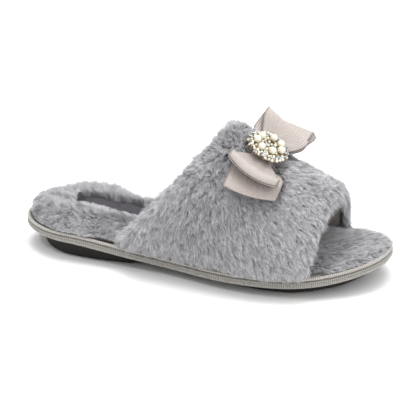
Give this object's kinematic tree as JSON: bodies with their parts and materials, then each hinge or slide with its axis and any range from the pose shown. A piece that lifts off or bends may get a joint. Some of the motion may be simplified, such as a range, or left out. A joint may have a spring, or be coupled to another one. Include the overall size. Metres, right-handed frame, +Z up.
{
  "type": "faux fur slide",
  "caption": "Open-toed house slide with a deep fur upper and insole, a ribbon-wrapped midsole, a low wedge rubber outsole, and a double ribbon bow with a pearl and stone brooch",
  "frame": {"origin": "on the floor under the middle of the heel", "axes": "+X towards the toe, +Y towards the inner side of the foot, +Z up"},
  "size_m": [0.26, 0.1097, 0.1064],
  "materials": {
    "outsole_rubber": "matt",
    "binding": "ribbed ribbon",
    "piping": "satin",
    "fur": "long soft pile",
    "label": "satin",
    "ribbon": "ribbed ribbon",
    "setting": "polished",
    "pearl": "pearl",
    "stone": "cut"
  },
  "bodies": {
    "root": {"outsole": "outsole_rubber", "midsole": "binding", "piping": "piping", "insole": "fur", "insole_label": "label", "upper": "fur", "bow_lower_loops": "ribbon", "bow_upper_loops": "ribbon", "bow_knot": "ribbon", "brooch_base": "setting", "pearl_1": "pearl", "pearl_2": "pearl", "pearl_3": "pearl", "pearl_4": "pearl", "pearl_5": "pearl", "pearl_6": "pearl", "pearl_7": "pearl", "stone_1": "stone", "stone_2": "stone", "stone_3": "stone", "stone_4": "stone", "stone_5": "stone", "stone_6": "stone", "stone_7": "stone", "stone_8": "stone", "stone_9": "stone", "stone_10": "stone", "stone_11": "stone", "stone_12": "stone", "stone_13": "stone", "stone_14": "stone", "stone_15": "stone"}
  },
  "joints": []
}
